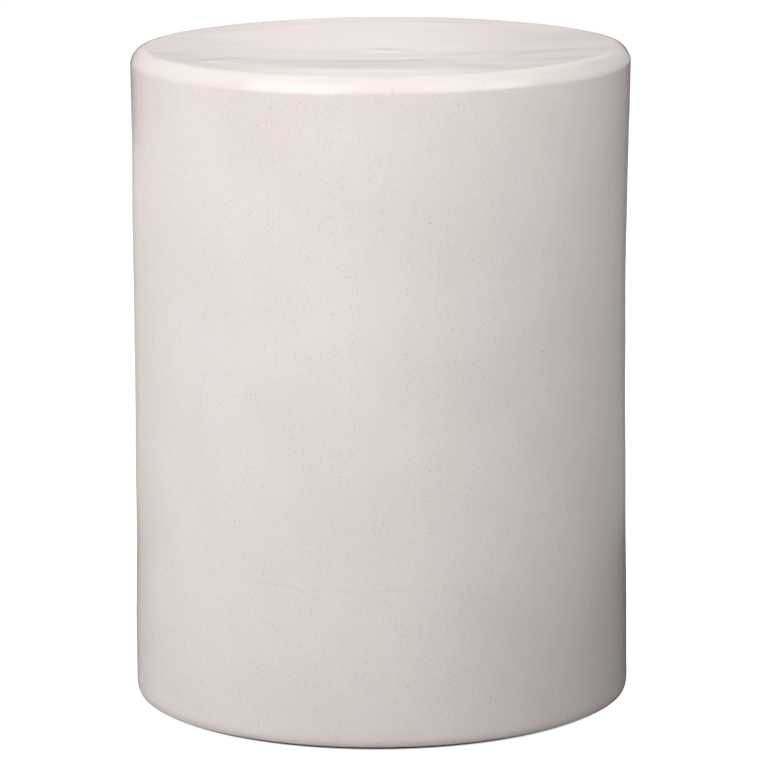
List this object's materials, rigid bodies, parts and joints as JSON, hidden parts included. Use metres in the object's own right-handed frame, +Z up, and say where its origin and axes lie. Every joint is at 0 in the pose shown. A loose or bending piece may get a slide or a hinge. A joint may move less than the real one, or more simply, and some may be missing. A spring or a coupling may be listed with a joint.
{
  "type": "ceramic stool",
  "caption": "Cylindrical glazed stoneware stool with a rounded seat edge and a slightly waisted wall, hollow and open underneath, standing on felt pads; a seat, side table or plant stand.",
  "frame": {"origin": "on the floor, under the middle of the stool: the centre of the circle that the felt pads stand on, at their underside", "axes": "+Z up along the stool's axis of revolution; X and Y level, with the felt pads on the diagonals between them; -Y is the side that faces the camera in the picture"},
  "size_m": [0.3478, 0.3476, 0.457],
  "materials": {
    "glaze": "gloss",
    "stoneware": "matte",
    "slip": "matte",
    "felt": "matte"
  },
  "bodies": {
    "root": {"seat_disc": "stoneware", "seat_slip_bed": "slip", "side_wall": "stoneware", "corner_coil": "stoneware", "foot_ring": "stoneware", "foot_slip_bed": "slip", "outer_glaze": "glaze", "foot_pads": "felt"}
  },
  "joints": []
}
